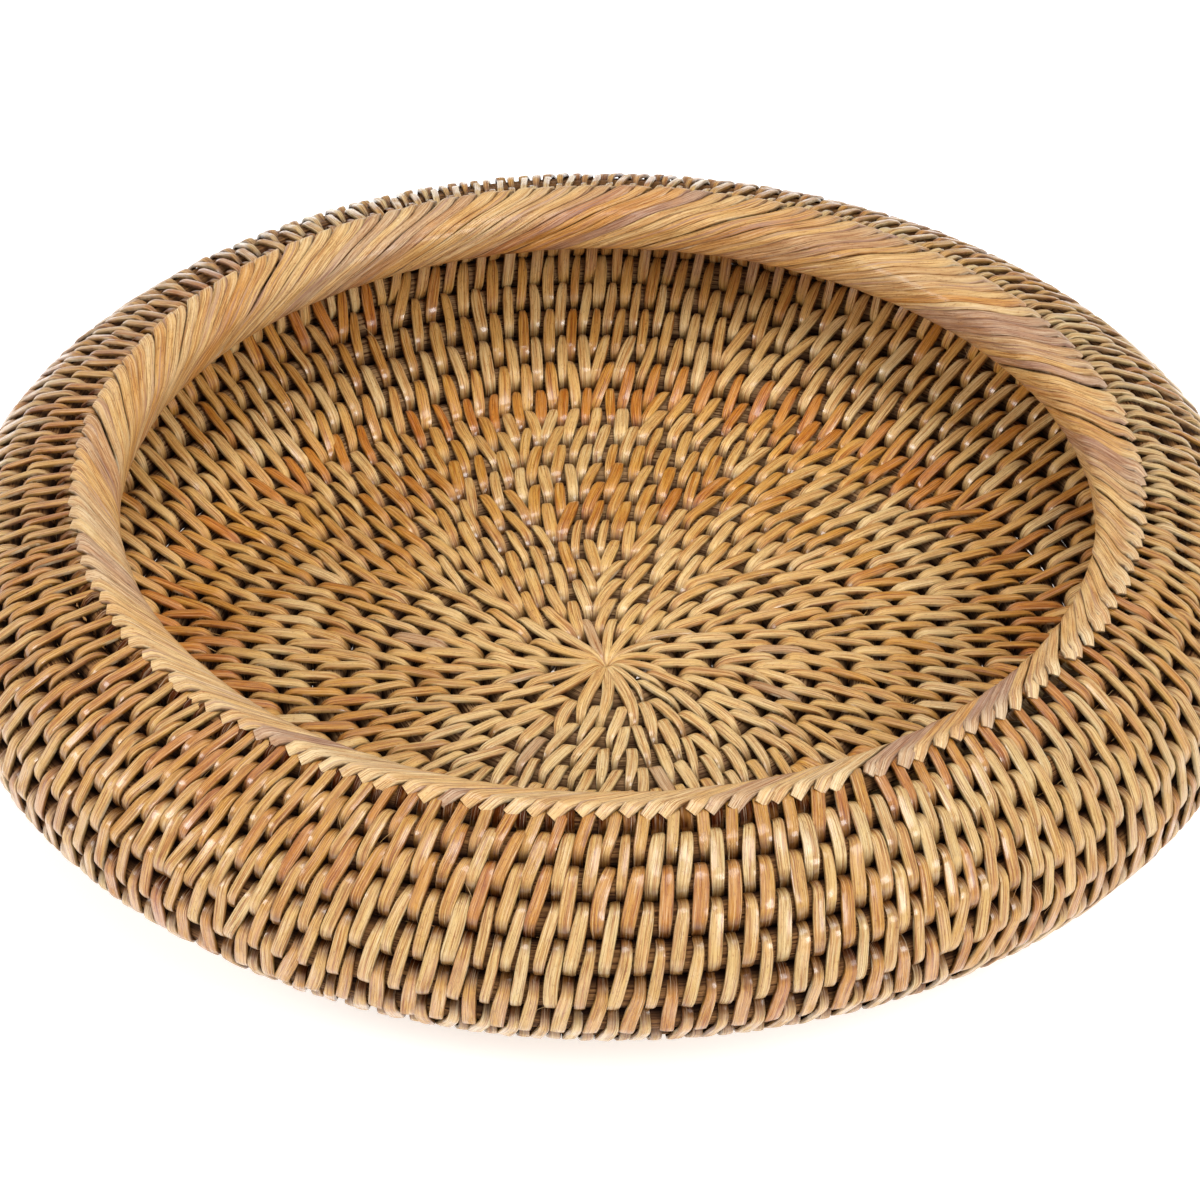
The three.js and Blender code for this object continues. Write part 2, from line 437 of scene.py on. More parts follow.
# ---- binding loops: colours ----
LENGTHS = (7, 26)                # how many loops one length of strip makes
MAUVE_LENGTHS = (4, 14)
MAUVE_AMOUNT = {OUTSIDE: 0.5, INSIDE: 0.1}
MAUVE_OVER = 1.6                 # only lengths whose random number is over this are mauve at all
USUAL_WARMTH = 0.29
WARMTH_BY_LENGTH, WARMTH_BY_LOOP, WARMTH_BY_PATCH = 0.12, 0.09, 0.07
REDDEST = 0.72                   # the warmest a whole strip gets
FACE_SHADE_AND_TINT = {                         # the outside is coloured a little darker, as painted shade, and yellower; the inside a little brighter, as painted light
    OUTSIDE: np.array([0.82, 0.82, 0.77]),
    INSIDE: np.array([1.05, 1.05, 1.02]),
}
# Outside, where strips are warmer than usual: from and up to which row, towards which direction
# and how far off it, and how much warmer.
OUTSIDE_REGIONS = [
    (24, LAST_TURN, 265, 75, 0.34),      # orange beside the border at the front
    (24, LAST_TURN, 20, 70, -0.20),
    (22, 24, 20, 70, 0.22),
    (19, LAST_TURN, 200, 45, 0.15),
    (21, LAST_TURN, 125, 60, 0.10),
]
# Inside: the ring where the flare starts, the rows of the wall above it, and the floor.
RING = (12.7, 13.8)
RING_WARMTH, RING_SCATTER = 0.38, 0.12
WALL = (13.8, 21)
WALL_WARMTH, WALL_STRIPES = 0.05, 0.09
FLOOR_PATCHES = (6, 13)
FLOOR_PATCH_WARMTH = 0.16
CENTRE_FADE = (1.2, 7.2)         # the floor's palest part, fading out
CENTRE_WARMTH = -0.22
END_SHADE = (0.72, 0.98)             # painted shade: a strip is coloured darker this many turns from its middle, going into the wall's groove
END_SHADE_WARMTH, END_SHADE_LIGHT = 0.5, 0.30
# Mauve outside: half of it at the front, none in the top rows there, and more at the back left.
TOP_ROWS = 24
PLAIN_FRONT = (265, 110)
MAUVE_BACK, MAUVE_BACK_ROWS, MAUVE_BACK_MOST = (125, 60), 21, 0.35
# Mauve inside: a few single loops near the centre. Painted light and shade: the rows beyond are coloured
# paler away from the right, so the right of the inside wall looks shaded by its border.
SPOT_ROWS, SPOT_SHARE, SPOT_MAUVE = 6, 0.03, 0.5
WALL_LIGHT_ROWS, WALL_LIGHT_BY, WALL_SHADE_AT = 12, 0.14, (5, 80)


def between(places, span):
    low, high = span
    return (places >= low) & (places < high)


def loop_colours(rng, places, side, angle, share):
    """Colour along each strip: by region, by length of strip and by chance, with painted shade at its ends.
    """
    count = len(places)
    by_length = lengths_of_strip(rng, count, *LENGTHS)
    own = rng.normal(size=count)
    wall_light = np.ones(count)
    warmth = USUAL_WARMTH + WARMTH_BY_LENGTH * by_length + WARMTH_BY_LOOP * own
    warmth += WARMTH_BY_PATCH * patches(rng, angle, places)
    mauve = np.clip(lengths_of_strip(rng, count, *MAUVE_LENGTHS) - MAUVE_OVER, 0, 1) * MAUVE_AMOUNT[side]
    if side == OUTSIDE:
        for low, high, towards, off, warmer in OUTSIDE_REGIONS:
            warmth += warmer * facing(angle, towards, off) * between(places, (low, high))
        mauve *= 1 - (0.5 + 0.5 * (places >= TOP_ROWS)) * facing(angle, *PLAIN_FRONT)
        at_back = facing(angle, *MAUVE_BACK) * (places > MAUVE_BACK_ROWS)
        mauve += MAUVE_BACK_MOST * at_back * rng.uniform(0, 1, count)
    else:
        stripes = np.cos(math.pi * np.floor(places))
        warmth += (WALL_WARMTH + WALL_STRIPES * stripes) * between(places, WALL)
        warmth += (RING_WARMTH + RING_SCATTER * own) * between(places, RING)
        blotches = np.clip(patches(rng, angle, places), 0, 2)
        warmth += FLOOR_PATCH_WARMTH * blotches * between(places, FLOOR_PATCHES)
        warmth += CENTRE_WARMTH * (1 - ramp(places, *CENTRE_FADE))
        mauve += (rng.uniform(size=count) < SPOT_SHARE) * (places < SPOT_ROWS) * SPOT_MAUVE
        # painted light on the inside wall, all but its right, which stays as if in shade
        wall_light += WALL_LIGHT_BY * (places > WALL_LIGHT_ROWS) * (1 - facing(angle, *WALL_SHADE_AT))
    base = straw(np.minimum(warmth, REDDEST), mauve) * FACE_SHADE_AND_TINT[side] * wall_light[:, None]
    # painted shade: the ends of a strip, where it dives into the groove between turns, are darker and
    # warmer
    end_shade = ramp(np.abs(share - 0.5), *END_SHADE)
    darker = straw(warmth + END_SHADE_WARMTH, mauve) * END_SHADE_LIGHT
    return base[:, None] + (darker - base)[:, None] * end_shade[..., None]


# ---- binding loops: widths ----
STRIP_WIDTH = 2.8
WIDTH_BY_LENGTH, WIDTH_BY_LOOP = 0.06, 0.08
WIDTH_LIMITS = (1.5, 3.4)
WIDTH_OF_PITCH = 0.54            # the most of the distance between two loops that a strip fills
WIDTH_BY_ROW = {                 # turn numbers, and how wide strips are there
    OUTSIDE: ([16, 19], [1, 1.1]),
    INSIDE: ([8, 13, 18, 22], [1, 0.94, 0.98, 1]),
}
SLIMMER_FROM = (21.5, 23.2)      # outside, strips get slimmer over these turns,
SLIMMER_BY = 0.45                # by this much,
FULL_AT, FULL_WITHIN = 245, 105  # except round this direction
LOW_END = (0.12, 0.42)           # a strip narrows over this stretch beyond its lower turn,
LOW_TAPER = 0.1                  # by this much,
HIGH_END = (0.85, 1.4)           # and over this one, which its upper turn is in,
HIGH_TAPER = {OUTSIDE: 0.20, INSIDE: 0.45}   # by this much
TAPER_AT = [LAST_TURN - 1, LAST_TURN - 0.5, LAST_TURN - 0.2]
TAPER_SHARE = [1, 0, -1.5]       # the top row's ends don't narrow, but widen under the border
CENTRE_OVERLAP = 1.2             # strips that meet in the middle of the floor overlap a little
CENTRE_NARROWEST = 0.8
STRIP_TILT = 5                   # how unevenly strips lie, in degrees
SEED_RANGE = 1000                # each strip has its own place in the noise of its material


def loop_widths(rng, places, high, radius, share, side):
    """Width along each strip, narrower at its ends and near the middle of the floor."""
    count = len(places)
    by_length = lengths_of_strip(rng, count, *LENGTHS)
    width = STRIP_WIDTH * (1 + WIDTH_BY_LENGTH * by_length + WIDTH_BY_LOOP * rng.normal(size=count))
    width *= np.interp(places, *WIDTH_BY_ROW[side])
    if side == OUTSIDE:
        away = 1 - facing(azimuth(places), FULL_AT, FULL_WITHIN)
        width *= 1 - SLIMMER_BY * ramp(places, *SLIMMER_FROM) * away
    pitch = np.gradient(places) * 2 * math.pi * middle(places + 0.5)[..., 0]
    width = np.minimum(np.clip(width, *WIDTH_LIMITS), WIDTH_OF_PITCH * pitch)
    low_taper = LOW_TAPER * ramp(-share, *LOW_END)
    high_taper = HIGH_TAPER[side] * np.interp(high, TAPER_AT, TAPER_SHARE)[:, None] * ramp(share, *HIGH_END)
    width = width[:, None] * (1 - low_taper - high_taper)
    first_row = places < FROM_CENTRE
    room = CENTRE_OVERLAP * 2 * math.pi * np.abs(radius) / LOOP_COUNTS[0]
    width[first_row] = np.minimum(width, np.maximum(room, CENTRE_NARROWEST))[first_row]
    return width


def binding(side):
    """All strips on one face of the wall, with the turn number of each."""
    rng = np.random.default_rng(SEED + side)
    places = loop_places()
    count = len(places)
    low, high = loop_ends(rng, places, side)
    path, normal, flat, share = loop_paths(rng, places, low, high, side)
    width = loop_widths(rng, places, high, flat[..., 0], share, side)
    thickness = np.full(width.shape, STRIP_THICKNESS)
    tilt = np.radians(rng.normal(0, STRIP_TILT, count))
    colour = loop_colours(rng, places, side, azimuth(places), share)
    seeds = rng.uniform(0, SEED_RANGE, count)
    return shape_strips(path, normal, width, thickness, tilt, colour, seeds), places


# ---- loose fibres ----
FIBRES = {INSIDE: 110, OUTSIDE: 130}
FIBRE_STEPS = 7
FIBRE_ROWS = (8, LAST_TURN - 1.6)
FIBRE_LENGTH = (2.0, 6.0)
FIBRE_BEHIND = 0.4               # the share of its length that lies before its own place
FIBRE_ROOT = CORE_RADIUS * 0.6   # how far from the wall's middle it starts,
FIBRE_CLIMB = 1.3                # and how far it climbs, with
FIBRE_LIFT = (0.2, 1.1)          # so much more at its tip
FIBRE_SWAY = 2.2                 # how far its tip lies round the basket
FIBRE_WIDTH = (0.10, 0.24)
FIBRE_TIP = 0.4                  # its tip's width next to its root's
FIBRE_DEPTH = 0.7                # its thickness next to its width
FIBRE_WARMTH = (0, 0.4)
FIBRE_SEED = 10


def loose_fibres(side):
    """Hair-thin splits that stand off the strips, starting low in the grooves."""
    rng = np.random.default_rng(SEED + FIBRE_SEED + side)
    count = FIBRES[side]
    at = rng.uniform(*FIBRE_ROWS, count)
    base = middle(at + 0.5)
    u = unit(middle(at + 0.6) - middle(at + 0.4))
    n = face_normal(u, side)
    t = np.linspace(0, 1, FIBRE_STEPS)[None, :, None]
    length = rng.uniform(*FIBRE_LENGTH, count)[:, None, None]
    lift = rng.uniform(*FIBRE_LIFT, count)[:, None, None]
    height = FIBRE_ROOT + FIBRE_CLIMB * t + lift * t**2
    flat = base[:, None] + u[:, None] * length * (t - FIBRE_BEHIND) + n[:, None] * height
    turning = rng.normal(0, FIBRE_SWAY, count)[:, None] * t[..., 0] ** 1.5 / base[:, :1]
    angle = azimuth(at)[:, None] + turning
    width = rng.uniform(*FIBRE_WIDTH, count)[:, None] * np.linspace(1, FIBRE_TIP, FIBRE_STEPS)[None, :]
    normal = swung(np.repeat(n[:, None], FIBRE_STEPS, axis=1), angle)
    plain = straw(rng.uniform(*FIBRE_WARMTH, count), np.zeros(count))
    colour = np.repeat(plain[:, None], FIBRE_STEPS, axis=1)
    seeds = rng.uniform(0, SEED_RANGE, count)
    path = swung(flat, angle)
    return shape_strips(path, normal, width, width * FIBRE_DEPTH, np.zeros(count), colour, seeds)


# ---- border ----
BORDER_STRIPS = 160
BORDER_STEPS = 30
BORDER_SEED = 5
BORDER_OVER = CORE_RADIUS + 0.7           # from the last turn's middle to the strips' middle
BORDER_NEAR = BORDER_CANE_RADIUS + 0.3    # and from a border cane's
BORDER_RUN = [0, 0.08, 0.2, 0.5, 0.8, 1]  # along the strips' path, as a share of it,
BORDER_SLOPES = [50, 36, 28, 23, 28, 50]  # how steeply they cross the border
BORDER_SCATTER = 0.13                     # how unevenly they start, as a share of their distance
BORDER_LIFT = 0.24                        # how loosely they lie on what they wrap
BORDER_ENDS = (-0.4, 0.9)                 # how much further out single ends lie,
BORDER_ENDS_FRONT = 1.0                   # and how much further still at the front
BORDER_LAP = 1.12                         # strips are this much wider than their distance
BORDER_WIDTHS = (2.1, 3.4)
BORDER_WIDTH_SCATTER = 0.05
BORDER_END_WIDTHS = [0.78, 0.94, 1]       # widths of the outer end, point by point
BORDER_THICKNESS = 0.8
BORDER_TILT, BORDER_TILT_SCATTER = -7, 3.5
ON_TOP = 8                                # the point of a strip's path that lies on top of the border
BORDER_LENGTHS, STREAK_LENGTHS = (2, 7), (1, 4)
BORDER_WARMTH = 0.24
BORDER_WARMTH_BY_LENGTH, BORDER_WARMTH_BY_STRIP = 0.12, 0.10
BORDER_WARMER = [(90, 60, 0.06), (10, 70, 0.04)]      # direction, how far off it, and how much
BORDER_STREAKED = [(15, 60, 0.5), (185, 50, 0.4)]
BORDER_MAUVE, STREAKED_OVER, STREAK_MAUVE = 0.12, 0.6, 0.7
CUT_END_FADE = ([0, 2, 5], [0.8, 0.5, 0.0])   # point numbers, and how much of them is pale cut end and painted highlight
# How far the pale cut end shows all round, how much more it shows at most as a painted highlight, and
# towards which direction.
CUT_SHOWS, HIGHLIGHT_SHOWS_MORE, HIGHLIGHT_MOST_AT = 0.2, 0.6, (325, 60)
LONGEST_AT = (255, 65)                    # where BORDER_ENDS_FRONT is added in full
CURVE_STEPS = 12                          # between two points of the border's profile


def border_profile():
    """(radius, height) of the wrapped strips' path in section, from the outer ends over the top,
    down the inner side and back under the canes to the wall."""
    crest = CENTRES[-1]
    upper, lower = [np.array([BORDER_CANE_AT, crest[1] - drop]) for drop in BORDER_CANE_DROP]

    def at(centre, radius, angle):
        turn = math.radians(angle)
        return centre + radius * np.array([math.cos(turn), math.sin(turn)])

    return np.array([
        at(crest, BORDER_OVER + 0.2, 62),
        at(crest, BORDER_OVER + 0.5, 69),
        at(crest, BORDER_OVER + 0.45, 80),
        at(crest, BORDER_OVER + 0.15, 98),
        at(crest, BORDER_OVER, 116),
        at(upper, BORDER_NEAR, 95) + [0, 0.35],
        at(upper, BORDER_NEAR, 135),
        at(upper, BORDER_NEAR, 180),
        at(lower, BORDER_NEAR, 180),
        at(lower, BORDER_NEAR, 230),
        at(lower, BORDER_NEAR, 280),
        at(crest, BORDER_OVER, 262),
        at(crest, BORDER_OVER, 310),
    ])


def smooth_line(points, count):
    """Evenly spaced points on a smooth curve through the given ones, and the run to each."""
    padded = np.concatenate([2 * points[:1] - points[1:2], points, 2 * points[-1:] - points[-2:-1]])
    t = np.linspace(0, 1, CURVE_STEPS, endpoint=False)[:, None]
    parts = [curve_point(*four, t) for four in zip(padded, padded[1:], padded[2:], padded[3:])]
    line = np.concatenate(parts + [points[-1:]])
    run = run_along(line)
    even = np.linspace(0, run[-1], count)
    return np.stack([np.interp(even, run, line[:, c]) for c in range(2)], -1), even


def border_colours(rng, outer_angle, angle):
    """Colour along each border strip, by length of strip, by chance and by direction."""
    count = BORDER_STRIPS
    by_length = lengths_of_strip(rng, count, *BORDER_LENGTHS)
    own = rng.normal(size=count)
    warmth = BORDER_WARMTH + BORDER_WARMTH_BY_LENGTH * by_length + BORDER_WARMTH_BY_STRIP * own
    for towards, off, warmer in BORDER_WARMER:
        warmth += warmer * facing(angle, towards, off)
    streaky = lengths_of_strip(rng, count, *STREAK_LENGTHS)
    for towards, off, more in BORDER_STREAKED:
        streaky += more * facing(angle, towards, off)
    mauve = BORDER_MAUVE + STREAK_MAUVE * np.clip(streaky - STREAKED_OVER, 0, 1)
    colour = np.repeat(straw(warmth, mauve)[:, None], BORDER_STEPS, axis=1)
    # pale cut ends, with a painted highlight that is strongest towards the front-right lamp
    cut_and_highlight = np.interp(np.arange(BORDER_STEPS), *CUT_END_FADE)[None, :]
    cut_and_highlight = cut_and_highlight * (CUT_SHOWS + HIGHLIGHT_SHOWS_MORE * facing(outer_angle[:, None], *HIGHLIGHT_MOST_AT))
    return colour + (CUT_END_AND_HIGHLIGHT - colour) * cut_and_highlight[..., None]


def border_strips():
    """Strips wrapped slantwise round the last turn and the border canes, each lapping the next."""
    rng = np.random.default_rng(SEED + BORDER_SEED)
    count = BORDER_STRIPS
    profile, run = smooth_line(border_profile(), BORDER_STEPS)
    slope = np.radians(np.interp(run / run[-1], BORDER_RUN, BORDER_SLOPES))
    steps_round = np.diff(run) / np.tan((slope[1:] + slope[:-1]) / 2)
    advance = np.concatenate([[0], np.cumsum(steps_round)])
    tangent = unit(np.gradient(profile, axis=0))
    out = face_normal(tangent, OUTSIDE)
    begin = np.radians((np.arange(count) + rng.normal(0, BORDER_SCATTER, count)) * 360 / count)
    angle = begin[:, None] + advance[None, :] / profile[None, :, 0]
    flat = profile[None] + out[None] * rng.uniform(0, BORDER_LIFT, count)[:, None, None]
    longer = rng.uniform(*BORDER_ENDS, count) + BORDER_ENDS_FRONT * facing(angle[:, 0], *LONGEST_AT)
    flat[:, 0] -= tangent[0] * longer[:, None]
    angle[:, 0] -= longer / np.tan(slope[0]) / profile[0, 0]
    path = swung(flat, angle)
    normal = swung(np.broadcast_to(out[None], flat.shape), angle)
    spacing = 2 * math.pi * profile[:, 0] / count * np.sin(slope)
    width = np.clip(spacing[None, :] * BORDER_LAP, *BORDER_WIDTHS)
    width = width * (1 + BORDER_WIDTH_SCATTER * rng.normal(size=(count, 1)))
    width[:, :len(BORDER_END_WIDTHS)] *= BORDER_END_WIDTHS
    thickness = np.full(width.shape, BORDER_THICKNESS)
    tilt = np.radians(rng.normal(BORDER_TILT, BORDER_TILT_SCATTER, count))
    colour = border_colours(rng, angle[:, 0], angle[:, ON_TOP])
    seeds = rng.uniform(0, SEED_RANGE, count)
    return shape_strips(path, normal, width, thickness, tilt, colour, seeds, BLADE_SHADE)


# ---- cane core ----
CORE_SIDES = 16
CORE_STEP = 2.4
CORE_FEWEST_STEPS = 60
CORE_STRETCH = 1.27              # the cane is pressed oval, and fills the wall between the loops
CORE_SLACK = 0.08                # the strips sit on it with this much room
CORE_WANDERS = [(0.05, 37, 0), (0.04, 91, 1)]    # how its radius varies: by how much, how often, from where
CORE_START = ([1, 1.6, 2], [1.8, 2.6, CORE_RADIUS - 0.1])    # its radius over the first turn
CORE_TAIL, CORE_TAIL_RADIUS = 0.06, 0.45         # its last part of a turn, and what is left at the end
NEARBY = 0.05                    # turns to either side of a place, for the wall's direction there
BAND_MARGIN = 0.03               # free edge of a band in the bake map
CAP_SPOT = 0.001                 # both ends of a cane take one small spot of the bake map
BORDER_CANE_STEPS = 280
BORDER_CANE_SLACK = 0.05
BORDER_CANE_FROM = 40            # where the border canes start and end,
BORDER_CANE_ROUND = 359.2        # and how much of a circle they make


def cane(name, centre, angle, radius, across, stretch=1.0):
    """A cane through (radius, height) centres at the given angles, wider by `stretch` along
    the directions `across`."""
    around = np.linspace(0, 2 * math.pi, CORE_SIDES, endpoint=False)
    ring = np.stack([np.cos(around), np.sin(around)], -1)
    upright = np.stack([-across[:, 1], across[:, 0]], -1)
    offset = stretch * ring[None, :, :1] * across[:, None] + ring[None, :, 1:] * upright[:, None]
    verts = swung(centre[:, None] + radius[:, None, None] * offset, angle[:, None])
    run = run_along(swung(centre, angle))
    shell = radius[:, None, None] * ring[None]
    grain = np.concatenate([np.broadcast_to(run[:, None, None], shell.shape[:2] + (1,)), shell], -1)
    walls, where = lattice(1, len(centre), CORE_SIDES)
    # The bake map holds the cane in bands, one above the other.
    bands = max(1, round(math.sqrt(run[-1] / (2 * math.pi * CORE_RADIUS))))
    per_band = math.ceil((len(centre) - 1) / bands)
    band = where[:, :1, 1] // per_band
    u = (where[..., 1] - band * per_band) / per_band
    v = (band + BAND_MARGIN + (1 - 2 * BAND_MARGIN) * where[..., 2] / CORE_SIDES) / bands
    wall_uv = np.stack([u, v], -1)
    start_cap = np.arange(CORE_SIDES)[None]
    end_cap = (len(centre) - 1) * CORE_SIDES + np.arange(CORE_SIDES)[None, ::-1]
    cap_uv = CAP_SPOT * (1 + 0.5 * ring.repeat(2, 0))
    uv = np.concatenate([wall_uv[:, ::-1].reshape(-1, 2), cap_uv])
    faces = [walls[:, ::-1], start_cap, end_cap]
    attributes = {"grain": grain.reshape(-1, 3)}
    return make_mesh(name, verts.reshape(-1, 3), faces, [True, False, False], attributes, uv)


def core_run(name, first, last):
    """The core's cane from one turn number to another."""
    length = 2 * math.pi * float(middle((first + last) / 2)[0]) * (last - first)
    s = np.linspace(first, last, max(CORE_FEWEST_STEPS, int(length / CORE_STEP)))
    wander = sum(by * np.sin(s * often + start) for by, often, start in CORE_WANDERS)
    radius = CORE_RADIUS - CORE_SLACK + wander
    radius = np.where(s < CORE_START[0][-1], np.interp(s, *CORE_START), radius)
    if last == LAST_TURN:
        radius = radius * np.interp(s, [LAST_TURN - CORE_TAIL, LAST_TURN], [1, CORE_TAIL_RADIUS])
    across = unit(middle(s + NEARBY) - middle(s - NEARBY))
    return cane(name, middle(s), azimuth(s), radius, across, CORE_STRETCH)


def border_canes():
    """The two thin canes, each one ring with its ends close together."""
    s = np.linspace(0, 1, BORDER_CANE_STEPS)
    angle = math.radians(BORDER_CANE_FROM) + s * math.radians(BORDER_CANE_ROUND)
    radius = np.full(len(s), BORDER_CANE_RADIUS - BORDER_CANE_SLACK)
    across = np.tile([1.0, 0.0], (len(s), 1))
    pieces = []
    for name, drop in zip(("border_cane_top", "border_cane_low"), BORDER_CANE_DROP):
        centre = np.tile([BORDER_CANE_AT, CENTRES[-1][1] - drop], (len(s), 1))
        pieces.append(cane(name, centre, angle, radius, across))
    return pieces


# ---- materials ----
MIX_AMOUNT, MIX_FROM, MIX_TO, MIX_RESULT = 0, 6, 7, 2    # colour sockets of a Mix node


class Nodes:
    """Short forms for building a material's nodes."""

    def __init__(self, name):
        self.material = bpy.data.materials.new(name)
        self.material.use_nodes = True
        self.tree = self.material.node_tree
        self.surface = self.tree.nodes["Principled BSDF"]

    def add(self, kind, inputs=None, **settings):
        node = self.tree.nodes.new(kind)
        for key, value in settings.items():
            setattr(node, key, value)
        for key, value in (inputs or {}).items():
            self.join(value, node.inputs[key])
        return node

    def join(self, value, socket):
        if isinstance(value, bpy.types.NodeSocket):
            self.tree.links.new(value, socket)
        else:
            socket.default_value = value

    def shade(self, **values):
        """Set inputs of the surface, with underscores for spaces in their names."""
        for key, value in values.items():
            self.join(value, self.surface.inputs[key.replace("_", " ")])

    def attribute(self, name):
        return self.add("ShaderNodeAttribute", attribute_name=name)

    def noise(self, grain, fineness, detail, roughness=0.55):
        """Noise over the grain of a strip or cane, `fineness` being how fine it is along it and in
        the grain's two other directions."""
        vector = self.add("ShaderNodeVectorMath", {0: grain, 1: fineness}, operation="MULTIPLY").outputs[0]
        inputs = {"Vector": vector, "Scale": 1.0, "Detail": detail, "Roughness": roughness}
        return self.add("ShaderNodeTexNoise", inputs).outputs["Fac"]

    def spread(self, value, low, high, out_low=0.0, out_high=1.0):
        inputs = {"Value": value, "From Min": low, "From Max": high, "To Min": out_low, "To Max": out_high}
        return self.add("ShaderNodeMapRange", inputs).outputs[0]

    def math(self, operation, a, b):
        return self.add("ShaderNodeMath", {0: a, 1: b}, operation=operation).outputs[0]

    def mix(self, kind, amount, a, b):
        inputs = {MIX_AMOUNT: amount, MIX_FROM: a, MIX_TO: b}
        return self.add("ShaderNodeMix", inputs, data_type="RGBA", blend_type=kind).outputs[MIX_RESULT]

    def bump(self, height, distance, strength, under=None):
        inputs = {"Height": height, "Distance": distance, "Strength": strength}
        if under is not None:
            inputs["Normal"] = under
        return self.add("ShaderNodeBump", inputs).outputs[0]


STREAK_TINT = (0.72, 0.50, 0.30)
FIBRE_TINT = (0.52, 0.36, 0.22)
FIBRE_GLINT = (0.84, 0.70, 0.50)
SPECK_TINT = (0.56, 0.34, 0.18)
HONEY = linear(212, 150, 80)
SHINE_FROM, SHINE_FULL = 0.03, 0.16        # tone brightness from which a strip begins to shine, and shines fully, so painted shade gets no gloss
COAT_ROUGHNESS = 0.19
FIBRE_ROUGHER = 0.25


def straw_material(name, roughness, violet, varnish, streaked):
    """Split rattan: long fibres, a darker streak here and there, small specks and a skin's gloss.
    `roughness` is that of its smoothest fibres, `violet` how strongly mauve lines show along it,
    `varnish` how much it is varnished and `streaked` how strong the darker streaks are."""
    n = Nodes(name)
    grain = n.attribute("grain").outputs["Vector"]
    tone = n.attribute("tone").outputs["Color"]
    streaks = n.noise(grain, (0.07, 1.7, 1.0), 3.0)
    fibres = n.noise(grain, (0.11, 4.4, 1.0), 4.0, 0.65)
    specks = n.noise(grain, (1.1, 2.4, 1.0), 3.0, 0.6)
    cloud = n.noise(grain, (0.16, 0.4, 1.0), 2.0)
    lines = n.noise(grain, (0.03, 1.1, 0.7), 2.0)
    colour = n.mix("MULTIPLY", n.spread(streaks, 0.48, 0.64, 0.0, streaked), tone, opaque(STREAK_TINT))
    colour = n.mix("MULTIPLY", n.spread(fibres, 0.50, 0.62, 0.0, 0.95), colour, opaque(FIBRE_TINT))
    colour = n.mix("MULTIPLY", n.spread(specks, 0.58, 0.68, 0.0, 0.65), colour, opaque(SPECK_TINT))
    colour = n.mix("MIX", n.spread(cloud, 0.5, 0.8, 0.0, 0.4), colour, opaque(HONEY))
    colour = n.mix("SCREEN", n.spread(fibres, 0.46, 0.32, 0.0, 0.34), colour, opaque(FIBRE_GLINT))
    colour = n.mix("MIX", n.spread(lines, 0.56, 0.68, 0.0, violet), colour, opaque(MAUVE))
    shallow = n.bump(streaks, 0.0006, 0.7)
    # the tone holds the painted shade of the strips' sides and ends: the darker the tone, the less shine
    lit = n.spread(n.add("ShaderNodeRGBToBW", {0: tone}).outputs[0], SHINE_FROM, SHINE_FULL)
    n.shade(
        Base_Color=colour,
        Roughness=n.spread(fibres, 0.3, 0.7, roughness, roughness + FIBRE_ROUGHER),
        Normal=n.bump(fibres, 0.0003, 0.8, shallow),
        Specular_IOR_Level=n.math("MULTIPLY", lit, 0.5),
        Coat_Weight=n.math("MULTIPLY", lit, n.spread(cloud, 0.40, 0.56, 0.1, varnish)),
        Coat_Roughness=COAT_ROUGHNESS,
    )
    return n.material


CANE_PALE = linear(188, 148, 102)
CANE_DARK = linear(80, 46, 20)
CANE_BLOTCH = linear(140, 102, 80)
CANE_GROOVE_SHADE = linear(50, 24, 8)
CANE_OUTER_SHADE = (0.62, 0.50, 0.38)
GROOVE_FROM, GROOVE_TO = 0.45, 0.92      # off its middle, where the painted shade of the groove begins and is full


def cane_material(name):
    """Round cane core: beige with close lines along it, darker where turns meet and darker outside, both
    painted shade.
    """
    n = Nodes(name)
    grain = n.attribute("grain").outputs["Vector"]
    lines = n.noise(grain, (0.03, 2.6, 2.6), 4.0, 0.7)
    blotches = n.noise(grain, (0.09, 0.3, 0.3), 2.0)
    colour = n.mix("MIX", n.spread(lines, 0.40, 0.58), opaque(CANE_DARK), opaque(CANE_PALE))
    colour = n.mix("MIX", n.spread(blotches, 0.45, 0.8, 0.0, 0.45), colour, opaque(CANE_BLOTCH))
    place = n.add("ShaderNodeSeparateXYZ", {0: grain})
    off_middle = n.math("ABSOLUTE", place.outputs["Y"], 0.0)
    # painted shade: the core darkens towards the grooves where turns meet
    groove = n.spread(off_middle, GROOVE_FROM * CORE_RADIUS, GROOVE_TO * CORE_RADIUS)
    colour = n.mix("MIX", groove, colour, opaque(CANE_GROOVE_SHADE))
    # painted shade: the core's outer side is coloured darker and warmer, as the shade in the gaps between
    # the strips outside
    to_inside = place.outputs["Z"]
    colour = n.mix("MULTIPLY", n.spread(to_inside, 1.0, -1.0), colour, opaque(CANE_OUTER_SHADE))
    n.shade(
        Base_Color=colour,
        Roughness=0.6,
        Specular_IOR_Level=0.12,
        Normal=n.bump(lines, 0.0007, 1.0),
    )
    return n.material


def floor_material():
    n = Nodes("pale_floor")
    n.shade(
        Base_Color=grey(0.8),
        Emission_Color=grey(1.0),
        Emission_Strength=0.6,
        Roughness=0.9,
        Specular_IOR_Level=0.1,
    )
    return n.material


# ---- putting it together ----
def give(piece, material, slot, *nodes):
    """Finish a piece, which stands for the CAD nodes named."""
    piece.data.materials.append(material)
    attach(piece, "root")
    if nodes:
        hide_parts(*nodes)


def coil_nodes(zone, first, last):
    return [f"{zone}_coil_{k:02d}" for k in range(first, last + 1)]


